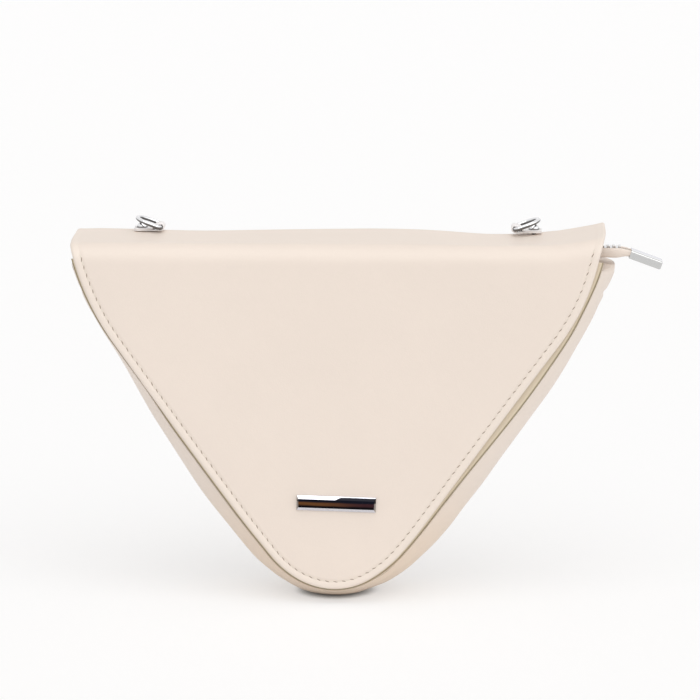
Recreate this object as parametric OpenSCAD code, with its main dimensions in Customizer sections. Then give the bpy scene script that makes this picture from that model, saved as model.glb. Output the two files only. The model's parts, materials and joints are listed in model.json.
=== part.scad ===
// Triangular flap bag in smooth cream leather: a V-shaped body stood on its rounded tip,
// a padded flap hinged at the top, a metal zip with a capped tail, and two D-rings.
// Millimetres, +X to the right, +Y to the back, +Z up, origin at the middle of the flat foot.

/* [Face outline] */
// Radius of the flap's rounded tip
tip_r = 40.4; // [34:0.1:50]
// Lean of the straight sides from the vertical, in degrees
side_lean = 35.6; // [31:0.1:39]
// Radius of the long curve of each upper corner
corner_r = 129; // [100:1:150]
// Height at which the straight side gives way to the corner curve
corner_start = 130.5; // [120:0.5:140]
// Height of the flap's lowest edge over the ground
flap_drop = 7.5; // [6.6:0.1:9]
// Height of the flap's top face
flap_top = 180; // [177:0.5:190]

/* [Body] */
// Depth between the two seams that join the panels to the gusset
seam_depth = 48; // [44:1:60]
// How far the body panels reach past the flap's edge
panel_margin = 2.5; // [1.5:0.1:3]
// Thickness of the outer leather of the panels
panel_t = 1.2; // [0.8:0.1:1.6]
// Thickness of the gusset leather
gusset_t = 1.2; // [0.8:0.1:1.4]
// How far the gusset swells out past the seams along the sides
side_swell = 12; // [6:0.5:15]
// How far it swells at the tip, before the foot is pressed flat
tip_swell = 7.8; // [6.8:0.1:9]
// How far it swells near its top hem
hem_swell = 6; // [3:0.1:9]
// Height at which the swell starts to grow from the tip
swell_from = 8; // [4:1:14]
// Height at which the swell is full
swell_full = 32; // [24:1:60]
// Height at which the swell starts to draw in again
swell_draws = 70; // [62:1:100]
// Height at which it has drawn in to the hem's
swell_drawn = 145; // [110:1:160]
// How far the gusset's top hem lies below the flap's top face
hem_drop = 13; // [12:0.5:19]
// Extra thickness of the turned hem
hem_t = 0.8; // [0.4:0.1:1.2]
// Thickness of the stiffening boards behind the panels
board_t = 1; // [0.6:0.1:1.5]
// Thickness of the lining cloth, drawn thicker than the cloth is
lining_t = 0.5; // [0.4:0.1:0.8]

/* [Flap] */
// Thickness of the flap's outer leather
flap_leather_t = 1; // [0.8:0.1:1.2]
// Thickness of the flap's padding
flap_foam_t = 0.9; // [0.6:0.1:1.2]
// Thickness of the flap's backing
flap_backing_t = 0.5; // [0.4:0.1:0.8]
// Width of the turned edge round the padding
turned_edge = 1.4; // [1:0.1:3]
// Air between the front panel and the closed flap
flap_gap = 2.8; // [2.7:0.1:4]
// Outer radius of the fold between the flap's face and its top
front_fold_r = 9; // [6:0.5:12]
// Place of the hinge line, behind the middle of the bag
hinge_y = 3; // [1:0.5:5]
// Outer radius of the fold at the back of the top
back_fold_r = 7; // [5:0.5:9]
// How far the sewn-down part of the flap reaches below the back fold
band_h = 12; // [8:1:30]

/* [Plaque] */
// Length of the metal bar
plaque_l = 39; // [30:1:50]
// Height of the bar
plaque_h = 7.5; // [5:0.1:10]
// Thickness of the bar
plaque_t = 2; // [1.2:0.1:3]
// Width of the bevels on its long edges
plaque_bevel = 1.6; // [0.8:0.1:2.2]
// Height of the bar's middle over the ground
plaque_z = 51.4; // [40:0.1:56]
// Distance of the bar's middle from the middle of the flap
plaque_x = 0.9; // [-3:0.1:3]
// Small turn of the bar, clockwise as seen from the front, in degrees
plaque_turn = 1.7; // [0:0.1:3]
// Radius of the two pins that hold it
plaque_pin_r = 0.8; // [0.6:0.1:1]

/* [Magnetic snap] */
// Height of the snap's middle over the ground
snap_z = 68; // [66:1:120]
// Radius of the socket
snap_r = 7; // [6:0.5:9]
// Thickness of the socket
snap_t = 1.9; // [1.6:0.1:2]
// Radius of the stud
snap_stud_r = 2.3; // [1.8:0.1:2.6]
// Radius of the snap's fixing pins
snap_pin_r = 1.2; // [0.8:0.1:1.6]

/* [D-rings] */
// Distance of each ring's straight bar in from the end of the flap's top
ring_in = 42; // [36:0.5:60]
// Distance of the ring's middle behind the middle of the bag
ring_y = 16; // [15:0.5:18]
// Thickness of the ring's wire
wire_d = 2.1; // [1.8:0.1:2.4]
// Inner width of the ring, along its bar
ring_w = 11.1; // [10:0.1:13]
// Length of the ring's straight legs
ring_leg = 5.6; // [3:0.1:6]
// Rise of the resting ring over the level, in degrees
ring_rise = 20; // [17:0.5:30]
// Width of the leather tab that holds the ring
tab_w = 8; // [7:0.1:9.5]
// Thickness of one layer of the tab
tab_t = 0.7; // [0.6:0.05:1]
// Length of the tab from the bar outwards
tab_l = 13; // [12.5:0.5:20]
// Distance of the rivet from the bar
rivet_x = 9.2; // [8:0.1:10]
// Radius of the rivet's head
rivet_r = 2.7; // [2.5:0.1:3.8]
// Height of the rivet's head
rivet_h = 2.8; // [2:0.1:3]

/* [Zip] */
// Distance from one tooth to the next on the same row
tooth_pitch = 2.8; // [2.4:0.1:3.2]
// Height of a tooth
tooth_h = 2.6; // [2:0.1:3]
// Distance from the zip's middle to the root of a tooth
tooth_root = 3.3; // [3:0.1:3.6]
// How far a tooth reaches past the middle, between its opposite two
tooth_reach = 0.85; // [0.6:0.05:1]
// Thickness of the zip tape
tape_t = 0.7; // [0.5:0.05:0.9]
// Width of each tape from the middle of the zip
tape_w = 14; // [11:0.5:16]
// Thickness of the leather strips that frame the zip
facing_t = 1; // [0.8:0.1:1.4]
// Gap between the strips and the middle of the zip
facing_gap = 5.4; // [5.1:0.1:7]
// How far the strips end short of the end of the flap's top
facing_in = 12.5; // [9.5:0.5:17]
// Depth of the zip below the flap's top face
zip_depth = 8.85; // [8.7:0.05:12]
// How far the slider travels
zip_travel = 196; // [120:1:198]
// Length of the slider
slider_l = 11; // [9:0.5:13]
// Width of the slider
slider_w = 9.2; // [8.8:0.1:9.8]
// Thickness of the slider's plates
slider_t = 1.1; // [0.9:0.1:1.3]
// Length of the pull from its pivot
pull_l = 18; // [12:1:24]
// Width of the pull
pull_w = 5; // [4:0.1:6]
// Thickness of the pull
pull_t = 1; // [0.8:0.1:1.2]

/* [Zip tail] */
// Height that the tail climbs as it leaves the bag
tail_rise = 3.9; // [1:0.1:4.2]
// Width of the folded tail
tail_w = 9.2; // [8:0.1:10]
// Height of the folded tail
tail_h = 4.6; // [3.6:0.1:5.2]
// Height of the tail where it is pinched into the end cap
pinch_h = 3; // [2.4:0.1:3.6]
// How far the end cap starts past the end of the flap's top
cap_out = 14.5; // [13:0.5:18]
// Length of the end cap
cap_l = 16.5; // [12:0.5:20]
// Droop of the end cap, in degrees
cap_droop = 20; // [0:1:35]
// Wall of the end cap
cap_wall = 0.5; // [0.4:0.1:0.8]

/* [Hidden] */

// Colours
leather = [0.93, 0.88, 0.82];
cloth = [0.80, 0.74, 0.66];
board = [0.72, 0.66, 0.58];
chrome = [0.78, 0.79, 0.81];
dark_chrome = [0.35, 0.34, 0.34];

// Clearances
fit = 0.05;  // a pin in its hole
free = 0.3;  // a moving piece beside its neighbour
small = 0.1; // a piece lying in its pocket
far = 400;   // longer than the bag, for cutting

// The face outline: a tip arc, two straight sides and two corner arcs
tip_cz = flap_drop + tip_r;
side_x = tip_r * cos(side_lean)
    + (corner_start - tip_cz + tip_r * sin(side_lean)) * tan(side_lean);
corner_c = [side_x - corner_r * cos(side_lean), corner_start + corner_r * sin(side_lean)];
top_x = corner_c[0] + corner_r * cos(corner_end(flap_top, 0));
tip_steps = 11;
side_steps = 8;
corner_steps = 7;

// Layers from the middle outwards
seam_y = seam_depth / 2;
front_y = seam_y + panel_t;
board_y = seam_y - board_t;
flap_t = flap_leather_t + flap_foam_t + flap_backing_t;
flap_in_y = front_y + flap_gap;
flap_out_y = flap_in_y + flap_t;
flap_under = flap_top - flap_t;
hinge_z = flap_top - flap_t / 2;
hem_z = flap_top - hem_drop;
open_angle = 115;

// The zip: its level run, the ramp up to its tail, and the bend into the end cap
zip_z = flap_top - zip_depth;
facing_z = zip_z + tape_t / 2;
facing_x = top_x - facing_in;
cap_x = top_x + cap_out;
ramp_x = facing_x - 8;
ramp_l = 14;
bend_l = 8;
tooth_w = tooth_pitch * 0.44;
tooth_grip = 1.4;
slot_y = tooth_root - tooth_grip;
slider_x = -zip_travel / 2 - 2;
teeth_x0 = slider_x + slider_l / 2 - 2 * tooth_w;
teeth_n = floor((cap_x - tooth_w - teeth_x0) / tooth_pitch);
tape_x0 = slider_x - slider_l / 2 - 6;
tape_x1 = cap_x + 6;
stop_l = 2.4;
stop_in = 0.4;
cap_h = pinch_h + 2 * (small + cap_wall);
cap_w = tail_w + 2 * (small + cap_wall);

// The slider and its pull
flange_t = 0.8;
flange_in = 1.5;
wedge_in = 1.4;
wedge_l = 3.4;
wedge_w = 2.6;
crown_h = 1.6;
crown_w = 1.6;
crown_l = 6;
crown_wall = 1.1;
pull_bar_r = 0.4;
pull_arm_l = 4.6;
pull_x = slider_x + 1.2;
slider_top = tooth_h / 2 + free + slider_t;
pull_z = zip_z + slider_top + small + pull_t / 2;

// The snap
snap_base = 0.4;
snap_washer_r = snap_r - 1;
snap_washer_t = 0.8;
stud_disc_t = 0.5;
stud_play = 0.9;
stud_washer_t = flap_foam_t - 2 * small;

// The D-rings
ring_x = top_x - ring_in;
rivet_pin_r = 1;
rivet_rim = 0.6;
rivet_foot_t = 0.5;
ring_bend = 1.75;
wire_r = wire_d / 2;
ring_arc = ring_w / 2 + wire_r;
bore_r = wire_r + free;
loop_r = bore_r + tab_t;
ring_z = flap_top + loop_r;

// Smooth step from 0 to 1
function ease(t) = let (u = min(max(t, 0), 1)) u * u * (3 - 2 * u);

// A place on the face outline, as [x, z, normal x, normal z], from the tip's bottom upwards
function tip_place(phi) = [tip_r * sin(phi), tip_cz - tip_r * cos(phi), sin(phi), -cos(phi)];
function side_place(t) = let (a = tip_place(90 - side_lean))
    [a[0] + (side_x - a[0]) * t, a[1] + (corner_start - a[1]) * t, a[2], a[3]];
function corner_place(beta) = [corner_c[0] + corner_r * cos(beta),
    corner_c[1] - corner_r * sin(beta), cos(beta), -sin(beta)];

// Angle of the corner arc, grown by d, at a height z
function corner_end(z, d) = asin((corner_c[1] - z) / (corner_r + d));

// Places along the right half, up to the height z on the outline grown by d
function half_places(z, d) = concat(
    [for (i = [0:tip_steps - 1]) tip_place((90 - side_lean) * i / tip_steps)],
    [for (i = [0:side_steps - 1]) side_place(i / side_steps)],
    [for (i = [0:corner_steps]) corner_place(
        side_lean + (corner_end(z, d) - side_lean) * i / corner_steps)]);
function grown(p, d) = [p[0] + p[2] * d, p[1] + p[3] * d];
function mirrored(p) = [-p[0], p[1], -p[2], p[3]];
function all_places(z, d) = let (h = half_places(z, d))
    concat([for (i = [len(h) - 1:-1:1]) mirrored(h[i])], h);

// The face outline grown by d and cut level at the height z
module face(z, d) {
    polygon([for (p = all_places(z, d)) grown(p, d)]);
}

// A plate with the face outline, between two distances from the middle, front side negative
module face_plate(z, d, y0, y1) {
    translate([0, y1, 0]) rotate([90, 0, 0]) linear_extrude(y1 - y0) face(z, d);
}

// Bends a drawing of the YZ plane upright and draws it out along X, over a half length
module along_x(half) {
    rotate([90, 0, 90]) linear_extrude(2 * half, center = true) children();
}

// Draws a drawing of the XZ plane out along Y, between two distances
module along_y(y0, y1) {
    translate([0, y1, 0]) rotate([90, 0, 0]) linear_extrude(y1 - y0) children();
}

// A pin or disc along Y, from y0 to y1
module disc_y(r, y0, y1) {
    translate([0, y1, 0]) rotate([90, 0, 0]) cylinder(r = r, h = y1 - y0, $fn = 48);
}

// Body

module front_panel() color(leather) {
    difference() {
        face_plate(facing_z, panel_margin, -front_y, -seam_y);
        translate([0, 0, snap_z]) disc_y(snap_pin_r + fit, -far, 0);
    }
}

module back_panel() color(leather) {
    face_plate(facing_z + facing_t, panel_margin, seam_y, front_y);
}

module front_board() color(board) {
    difference() {
        face_plate(hem_z, panel_margin - gusset_t - free, -seam_y, -board_y);
        translate([0, 0, snap_z]) disc_y(snap_washer_r + small, -far, 0);
    }
}

module back_board() color(board) {
    face_plate(hem_z, panel_margin - gusset_t - free, board_y, seam_y);
}

// Swell of the gusset at a height, and its share across the width, from seam to seam
function swell(z) = z < swell_full
    ? tip_swell + (side_swell - tip_swell) * ease((z - swell_from) / (swell_full - swell_from))
    : side_swell + (hem_swell - side_swell) * ease((z - swell_draws) / (swell_drawn - swell_draws));
function across(v) = 1 - pow(abs(v), 2.4);
gusset_across = [-1, -0.92, -0.78, -0.55, -0.28, 0, 0.28, 0.55, 0.78, 0.92, 1];

// One point of the gusset's outer or inner face; the foot is pressed flat on the ground
function gusset_point(p, v, inner, top) = let (
    turned = hem_t * ease((p[1] - hem_z + 10) / 3),
    d = panel_margin + swell(p[1]) * across(v) + (inner ? -gusset_t : turned * across(v)),
    q = grown(p, d))
    [q[0], v * seam_y, top ? hem_z : max(q[1], inner ? gusset_t : 0)];

module gusset() color(leather) {
    places = all_places(hem_z, panel_margin);
    m = len(gusset_across);
    ring = 2 * m;
    n = len(places);
    points = [for (i = [0:n - 1]) let (p = places[i], top = i == 0 || i == n - 1) each concat(
        [for (v = gusset_across) gusset_point(p, v, false, top)],
        [for (k = [m - 1:-1:0]) gusset_point(p, gusset_across[k], true, top)])];
    walls = [for (i = [0:n - 2], k = [0:ring - 1]) let (
        a = i * ring + k,
        b = i * ring + (k + 1) % ring)
        each [[a, b, a + ring], [b, b + ring, a + ring]]];
    caps = [for (k = [0:m - 2]) let (a = k, b = ring - 1 - k, s = (n - 1) * ring)
        each [[a, b, b - 1], [a, b - 1, a + 1], [s + a, s + b - 1, s + b], [s + a, s + a + 1, s + b - 1]]];
    polyhedron(points = points, faces = concat(walls, caps), convexity = 6);
}

module lining() color(cloth) {
    d = panel_margin - gusset_t - 2 * free;
    difference() {
        face_plate(facing_z, d, -board_y, board_y);
        face_plate(facing_z + 1, d - lining_t, -board_y + lining_t, board_y - lining_t);
        for (s = [-1, 1])
            translate([s * far / 2 + s * (facing_x - free), 0, hem_z + far / 2])
                cube(far, center = true);
    }
}

// The part of the flap's leather that is sewn down: over the back fold and onto the back panel
module band_profile() {
    c = [front_y + flap_t - back_fold_r, flap_top - back_fold_r];
    difference() {
        union() {
            intersection() {
                translate(c) difference() {
                    circle(r = back_fold_r, $fn = 64);
                    circle(r = back_fold_r - flap_t, $fn = 64);
                }
                translate(c) square(back_fold_r);
            }
            translate([hinge_y, flap_under]) square([c[0] - hinge_y, flap_t]);
            translate([front_y, c[1] - band_h]) square([flap_t, band_h]);
        }
        // The end clears the rolled edge, and the flap when it is thrown open
        translate([hinge_y, hinge_z]) circle(r = flap_t / 2 + free, $fn = 64);
        translate([hinge_y, hinge_z]) rotate(90 - open_angle)
            translate([-far, -far / 2]) square([far + flap_t / 2 + free, far]);
    }
}

module flap_band() color(leather) {
    difference() {
        intersection() {
            along_x(far) band_profile();
            face_plate(flap_top + 1, 0, -far, far);
        }
        for (s = [-1, 1])
            translate([s * (ring_x + rivet_x), ring_y, flap_under - 1])
                cylinder(r = rivet_pin_r + fit, h = flap_t + 2, $fn = 32);
    }
}

// Zip

// Rise of the zip's middle line over zip_z: level in the bag, up the ramp, then the droop
function zip_rise(x) = tail_rise * ease((x - ramp_x) / ramp_l)
    - tan(cap_droop) * (x < cap_x - bend_l ? 0
        : x < cap_x ? pow(x - cap_x + bend_l, 2) / (2 * bend_l)
        : x - cap_x + bend_l / 2);
function zip_line(x0, x1) = concat([x0],
    [for (x = [ramp_x:2:x1 - 0.5]) if (x > x0) x], [x1]);

// How far the lower fold of the tail rises as it is pinched into the end cap
function pinch(x) = (tail_h - pinch_h) * ease((x - cap_x + bend_l) / bend_l);

// A band along the zip's line, between two distances below and above it; a share of each
// edge follows the pinch
module zip_band(x0, x1, low, high, low_pinch = 0, high_pinch = 0) {
    line = zip_line(x0, x1);
    polygon(concat(
        [for (x = line) [x, zip_z + zip_rise(x) + low + low_pinch * pinch(x)]],
        [for (k = [len(line) - 1:-1:0]) let (x = line[k])
            [x, zip_z + zip_rise(x) + high + high_pinch * pinch(x)]]));
}

module zip_facing() {
    along_y(-front_y, -facing_gap) translate([-facing_x, facing_z]) square([2 * facing_x, facing_t]);
}

module zip_facing_front() color(leather) zip_facing();

module zip_facing_back() color(leather) {
    mirror([0, 1, 0]) intersection() {
        zip_facing();
        translate([-far, -seam_y, 0]) cube([2 * far, far, far]);
    }
}

// One tape: flat in the bag, folded under itself in the tail
module zip_tape() {
    half = tape_t / 2;
    fold = half - tail_h;
    side_y = -tail_w / 2;
    lap = 2;
    along_y(-tape_w, -slot_y) zip_band(tape_x0, ramp_x, -half, half);
    along_y(side_y, -slot_y) zip_band(ramp_x - lap, tape_x1, -half, half);
    along_y(side_y, side_y + tape_t) zip_band(ramp_x + lap, tape_x1, fold, half, 1, 0);
    along_y(side_y, -small) zip_band(ramp_x + lap, tape_x1, fold, fold + tape_t, 1, 1);
}

module zip_tape_front() color(cloth) zip_tape();

module zip_tape_back() color(cloth) mirror([0, 1, 0]) zip_tape();

// One row of teeth, clamped on the edge of its tape, each with a narrowed head
module zip_teeth(shift) {
    w = tooth_w / 2;
    difference() {
        for (i = [0:teeth_n - 1]) {
            x = teeth_x0 + (i + shift) * tooth_pitch;
            translate([x, 0, zip_z + zip_rise(x)])
                rotate([0, atan((zip_rise(x - 0.5) - zip_rise(x + 0.5))), 0])
                linear_extrude(tooth_h, center = true)
                polygon([[-w, -tooth_root], [w, -tooth_root], [w, -tooth_root / 4],
                    [w * 0.7, tooth_reach], [-w * 0.7, tooth_reach], [-w, -tooth_root / 4]]);
        }
        along_y(-far, -slot_y) zip_band(-far, cap_x, -tape_t / 2, tape_t / 2);
    }
}

module zip_teeth_front() color(chrome) zip_teeth(0);

module zip_teeth_back() color(chrome) mirror([0, 1, 0]) zip_teeth(0.5);

module zip_stops() color(chrome) {
    for (s = [-1, 1]) difference() {
        translate([slider_x - slider_l / 2 - free - stop_l, s > 0 ? stop_in : -tooth_root, zip_z - tooth_h / 2])
            cube([stop_l, tooth_root - stop_in, tooth_h]);
        translate([-far / 2, s > 0 ? slot_y : -slot_y - far, zip_z - tape_t / 2])
            cube([far, far, tape_t]);
    }
}

module zip_end_cap() color(chrome) {
    edge = 0.8;
    depth = cap_l - 4;
    mouth = 1;
    translate([cap_x, 0, zip_z + zip_rise(cap_x) + tape_t / 2 - pinch_h / 2])
        rotate([0, cap_droop, 0]) difference() {
            hull() for (y = [-1, 1], z = [-1, 1])
                translate([0, y * (cap_w / 2 - edge), z * (cap_h / 2 - edge)]) {
                    rotate([0, 90, 0]) cylinder(r = edge, h = cap_l - edge, $fn = 24);
                    translate([cap_l - edge, 0, 0]) sphere(r = edge, $fn = 24);
                }
            translate([-mouth, cap_wall - cap_w / 2, cap_wall - cap_h / 2])
                cube([mouth + depth, cap_w - 2 * cap_wall, cap_h - 2 * cap_wall]);
        }
}

// The slider: two plates with turned flanges, the wedge that parts the rows, and a crown
module slider_plate() {
    chamfer = 2.2;
    notch_r = slider_w / 2 - 0.6;
    notch_in = 0.6;
    linear_extrude(slider_t) difference() {
        translate([-slider_l / 2, -slider_w / 2]) square([slider_l, slider_w]);
        for (s = [-1, 1])
            translate([slider_l / 2, s * slider_w / 2]) rotate(45) square(chamfer, center = true);
        translate([notch_in - notch_r - slider_l / 2, 0]) circle(r = notch_r, $fn = 48);
    }
}

module slider_flange() {
    gap = tape_t / 2 + free;
    translate([flange_in - slider_l / 2, slider_w / 2 - flange_t, gap])
        cube([slider_l - 2 * flange_in, flange_t, tooth_h / 2 + free - gap + slider_t / 2]);
}

module zip_slider() color(chrome) {
    wedge_x = wedge_in - slider_l / 2;
    wedge_end = wedge_w / 8;
    translate([slider_x, 0, zip_z]) {
        for (s = [0, 1]) mirror([0, 0, s]) {
            translate([0, 0, tooth_h / 2 + free]) slider_plate();
            for (t = [0, 1]) mirror([0, t, 0]) slider_flange();
        }
        linear_extrude(tooth_h + 2 * free + slider_t, center = true)
            polygon([[wedge_x, -wedge_w / 2], [wedge_x + wedge_l, -wedge_end],
                [wedge_x + wedge_l, wedge_end], [wedge_x, wedge_w / 2]]);
        // The crown, a bridge over the bar of the pull
        translate([0, 0, slider_top]) along_y(-crown_w / 2, crown_w / 2) difference() {
            translate([-crown_l / 2, -slider_t / 2]) square([crown_l, crown_h + slider_t / 2]);
            translate([crown_wall - crown_l / 2, 0]) square([crown_l - 2 * crown_wall, crown_h - 0.6]);
        }
    }
}

// The pull: a round bar under the crown, two arms beside it and a flat tab with a round end
module zip_pull() color(chrome) {
    arm_y = crown_w / 2 + free;
    translate([pull_x, 0, pull_z]) {
        rotate([90, 0, 0]) cylinder(r = pull_bar_r, h = pull_w - 1, center = true, $fn = 32);
        translate([0, 0, -pull_t / 2]) linear_extrude(pull_t) difference() {
            union() {
                translate([-pull_bar_r, -pull_w / 2]) square([pull_l - pull_w / 2 + pull_bar_r, pull_w]);
                translate([pull_l - pull_w / 2, 0]) circle(r = pull_w / 2, $fn = 48);
            }
            translate([-far, -arm_y]) square([far + pull_arm_l, 2 * arm_y]);
            translate([pull_l - pull_w / 2, 0]) circle(r = pull_w / 5, $fn = 32);
        }
    }
}

// Flap

// The flap's section between two depths under its outer face, up to a distance y_end
module flap_profile(outer, inner, y_end) {
    c = [front_fold_r - flap_out_y, flap_top - front_fold_r];
    translate([-flap_out_y + outer, 0]) square([inner - outer, c[1]]);
    intersection() {
        translate(c) difference() {
            circle(r = front_fold_r - outer, $fn = 64);
            circle(r = front_fold_r - inner, $fn = 64);
        }
        translate([c[0] - front_fold_r, c[1]]) square(front_fold_r);
    }
    translate([c[0], flap_top - inner]) square([y_end - c[0], inner - outer]);
}

// A layer of the flap, its outline drawn in by an edge
module flap_layer(outer, inner, y_end, edge) {
    intersection() {
        along_x(far) flap_profile(outer, inner, y_end);
        face_plate(flap_top + 1, -edge, -far, far);
    }
}

pocket_y = hinge_y - flap_t / 2 - turned_edge;

module flap_leather() color(leather) {
    difference() {
        union() {
            flap_layer(0, flap_t, hinge_y, 0);
            // The rolled edge that the flap turns on
            intersection() {
                along_x(far) translate([hinge_y, hinge_z]) circle(r = flap_t / 2, $fn = 64);
                face_plate(flap_top + 1, 0, -far, far);
            }
        }
        flap_layer(flap_leather_t, flap_t + 1, pocket_y, turned_edge);
        plaque_pins(plaque_pin_r + fit, -1, flap_leather_t + 1);
    }
}

module flap_padding() color(board) {
    difference() {
        flap_layer(flap_leather_t, flap_leather_t + flap_foam_t, pocket_y, turned_edge);
        on_plaque() cube([plaque_washer_l + 2 * small, far, plaque_washer_h + 2 * small], center = true);
        translate([0, 0, snap_z]) disc_y(snap_washer_r + small, -far, 0);
    }
}

module flap_backing() color(cloth) {
    difference() {
        flap_layer(flap_leather_t + flap_foam_t, flap_t, pocket_y, turned_edge);
        translate([0, 0, snap_z]) disc_y(snap_pin_r + fit, -far, 0);
    }
}

// Plaque

plaque_end_bevel = 0.8;
plaque_wall = 0.7;
plaque_pin_x = plaque_l * 0.31;
plaque_washer_l = plaque_l * 0.85;
plaque_washer_h = plaque_h * 0.6;
plaque_washer_t = flap_foam_t - 2 * small;

// Puts its children at the plaque's middle, on the flap's face, with the plaque's turn
module on_plaque() {
    translate([plaque_x, -flap_out_y, plaque_z]) rotate([0, plaque_turn, 0]) children();
}

module plaque_pins(r, y0, y1) {
    on_plaque() for (s = [-1, 1]) translate([s * plaque_pin_x, 0, 0]) disc_y(r, y0, y1);
}

module plaque() color(dark_chrome) {
    on_plaque() intersection() {
        along_x(plaque_l) polygon([[0, -plaque_h / 2], [-plaque_wall, -plaque_h / 2],
            [-plaque_t, plaque_bevel - plaque_h / 2], [-plaque_t, plaque_h / 2 - plaque_bevel],
            [-plaque_wall, plaque_h / 2], [0, plaque_h / 2]]);
        linear_extrude(2 * plaque_h, center = true) polygon([[-plaque_l / 2, 0],
            [-plaque_l / 2, -plaque_wall], [plaque_end_bevel - plaque_l / 2, -plaque_t],
            [plaque_l / 2 - plaque_end_bevel, -plaque_t], [plaque_l / 2, -plaque_wall], [plaque_l / 2, 0]]);
    }
    plaque_pins(plaque_pin_r, 0, flap_leather_t + plaque_washer_t);
}

module plaque_washer() color(chrome) {
    difference() {
        on_plaque() translate([-plaque_washer_l / 2, flap_leather_t, -plaque_washer_h / 2])
            cube([plaque_washer_l, plaque_washer_t, plaque_washer_h]);
        plaque_pins(plaque_pin_r + fit, 0, flap_t);
    }
}

// Magnetic snap

module snap_socket() color(chrome) {
    translate([0, 0, snap_z]) {
        difference() {
            disc_y(snap_r, -front_y - snap_t, -front_y);
            disc_y(snap_stud_r + stud_play, -far, -front_y - snap_base);
        }
        disc_y(snap_pin_r, -front_y, -seam_y + snap_washer_t);
    }
}

module snap_socket_washer() color(chrome) {
    translate([0, 0, snap_z]) difference() {
        disc_y(snap_washer_r, -seam_y, -seam_y + snap_washer_t);
        disc_y(snap_pin_r + fit, -far, far);
    }
}

module snap_stud() color(chrome) {
    stud_l = flap_gap - snap_base - free - stud_disc_t;
    translate([0, 0, snap_z]) {
        disc_y(snap_r - 0.5, -flap_in_y, -flap_in_y + stud_disc_t);
        disc_y(snap_stud_r, -flap_in_y + stud_disc_t, -flap_in_y + stud_disc_t + stud_l);
        disc_y(snap_pin_r, -flap_in_y - flap_backing_t - stud_washer_t, -flap_in_y);
    }
}

module snap_stud_washer() color(chrome) {
    y = -flap_in_y - flap_backing_t;
    translate([0, 0, snap_z]) difference() {
        disc_y(snap_washer_r, y - stud_washer_t, y);
        disc_y(snap_pin_r + fit, -far, far);
    }
}

// D-rings, drawn for the right side with the bar's axis at the origin

// A tab of two layers, sewn flat outside the loop that holds the bar
module ring_tab() {
    low = -loop_r;
    high = 2 * tab_t - loop_r;
    meet = [2.6 * loop_r, high];
    turn = atan2(meet[1], meet[0]) + acos(loop_r / norm(meet));
    translate([ring_x, ring_y, ring_z]) difference() {
        along_y(-tab_w / 2, tab_w / 2) difference() {
            union() {
                circle(r = loop_r, $fn = 64);
                polygon([[0, low], [tab_l, low], [tab_l, high], meet, [loop_r * cos(turn), loop_r * sin(turn)]]);
            }
            circle(r = bore_r, $fn = 64);
        }
        translate([rivet_x, 0, low - 1]) cylinder(r = rivet_pin_r + fit, h = 2 * loop_r, $fn = 32);
    }
}

module ring_rivet() {
    cap = rivet_h - rivet_rim;
    dome_r = (rivet_r * rivet_r + cap * cap) / (2 * cap);
    translate([ring_x + rivet_x, ring_y, flap_top + 2 * tab_t]) {
        rotate_extrude($fn = 64) intersection() {
            translate([0, rivet_h - dome_r]) circle(r = dome_r, $fn = 96);
            square([rivet_r, rivet_h]);
        }
        translate([0, 0, -2 * tab_t - flap_t]) cylinder(r = rivet_pin_r, h = 2 * tab_t + flap_t, $fn = 32);
        translate([0, 0, -2 * tab_t - flap_t - rivet_foot_t])
            cylinder(r = rivet_r - rivet_rim, h = rivet_foot_t, $fn = 48);
    }
}

module d_ring() {
    straight = ring_arc - ring_bend;
    translate([ring_x, ring_y, ring_z]) rotate([0, -ring_rise, 0]) {
        rotate([90, 0, 0]) cylinder(r = wire_r, h = 2 * straight, center = true, $fn = 32);
        for (s = [0, 1]) mirror([0, s, 0]) {
            translate([ring_bend, straight, 0]) rotate([0, 0, 90])
                rotate_extrude(angle = 90, $fn = 48) translate([ring_bend, 0]) circle(r = wire_r, $fn = 32);
            translate([ring_bend, ring_arc, 0]) rotate([0, 90, 0])
                cylinder(r = wire_r, h = ring_leg - ring_bend, $fn = 32);
        }
        translate([ring_leg, 0, 0]) rotate([0, 0, -90])
            rotate_extrude(angle = 180, $fn = 64) translate([ring_arc, 0]) circle(r = wire_r, $fn = 32);
    }
}

module ring_tab_right() color(leather) ring_tab();

module ring_tab_left() color(leather) mirror([1, 0, 0]) ring_tab();

module ring_rivet_right() color(chrome) ring_rivet();

module ring_rivet_left() color(chrome) mirror([1, 0, 0]) ring_rivet();

module d_ring_right() color(chrome) d_ring();

module d_ring_left() color(chrome) mirror([1, 0, 0]) d_ring();

front_panel();
back_panel();
gusset();
front_board();
back_board();
lining();
flap_band();
zip_facing_front();
zip_facing_back();
zip_tape_front();
zip_tape_back();
zip_teeth_front();
zip_teeth_back();
zip_stops();
zip_end_cap();
snap_socket();
snap_socket_washer();
ring_tab_left();
ring_tab_right();
ring_rivet_left();
ring_rivet_right();
flap_leather();
flap_padding();
flap_backing();
plaque();
plaque_washer();
snap_stud();
snap_stud_washer();
d_ring_left();
d_ring_right();
zip_slider();
zip_pull();
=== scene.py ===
# Looks of a triangular flap bag: cream leather with padded edges and stitching, a metal zip, rings and bar.
# Lengths are metres, +X to the right, +Y to the back, +Z up, with the bag's foot at the origin.
import json
from math import asin, atan2, cos, exp, hypot, pi, radians, sin, sqrt, tan

import bmesh
import bpy
from mathutils import Matrix, Vector, noise


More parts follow.
